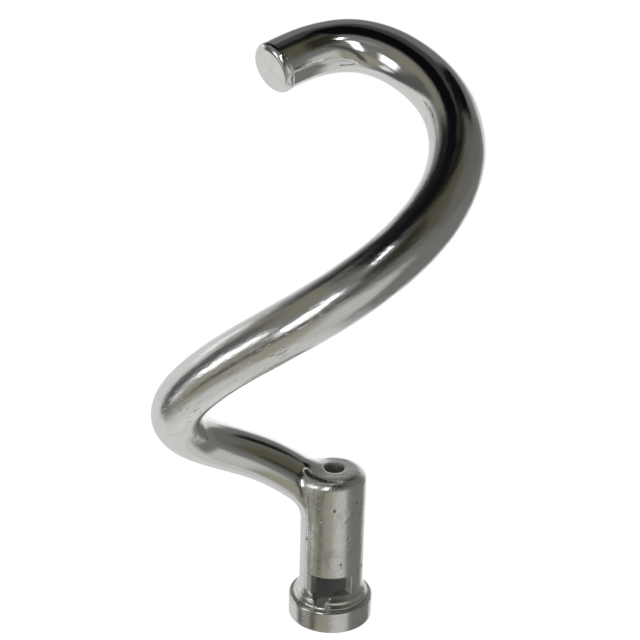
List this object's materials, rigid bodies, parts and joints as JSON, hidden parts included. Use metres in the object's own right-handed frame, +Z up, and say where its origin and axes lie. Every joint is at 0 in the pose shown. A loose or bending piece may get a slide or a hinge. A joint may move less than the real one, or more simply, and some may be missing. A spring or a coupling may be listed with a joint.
{
  "type": "spiral dough hook",
  "caption": "Spiral dough hook for a planetary mixer: a round bar swept from a slotted socket hub with a collar round its mouth, standing on that mouth.",
  "frame": {"origin": "centre of the socket's mouth, which is the face that the hook stands on", "axes": "+Z up the hub along the socket's axis towards the spiral, -Y towards the side with the drive pin slot, -X towards the side where the arm leaves the hub"},
  "size_m": [0.1469, 0.1235, 0.2901],
  "materials": {
    "cast_aluminium": "cast aluminium, burnished to a soft shine, with small casting pits",
    "turned_ring": "turned and polished aluminium",
    "polished_arm": "aluminium polished nearly to a mirror, with fine belt marks along the bar"
  },
  "bodies": {
    "root": {"hub": "cast_aluminium", "collar_ring": "turned_ring", "hook_arm": "polished_arm"}
  },
  "joints": []
}
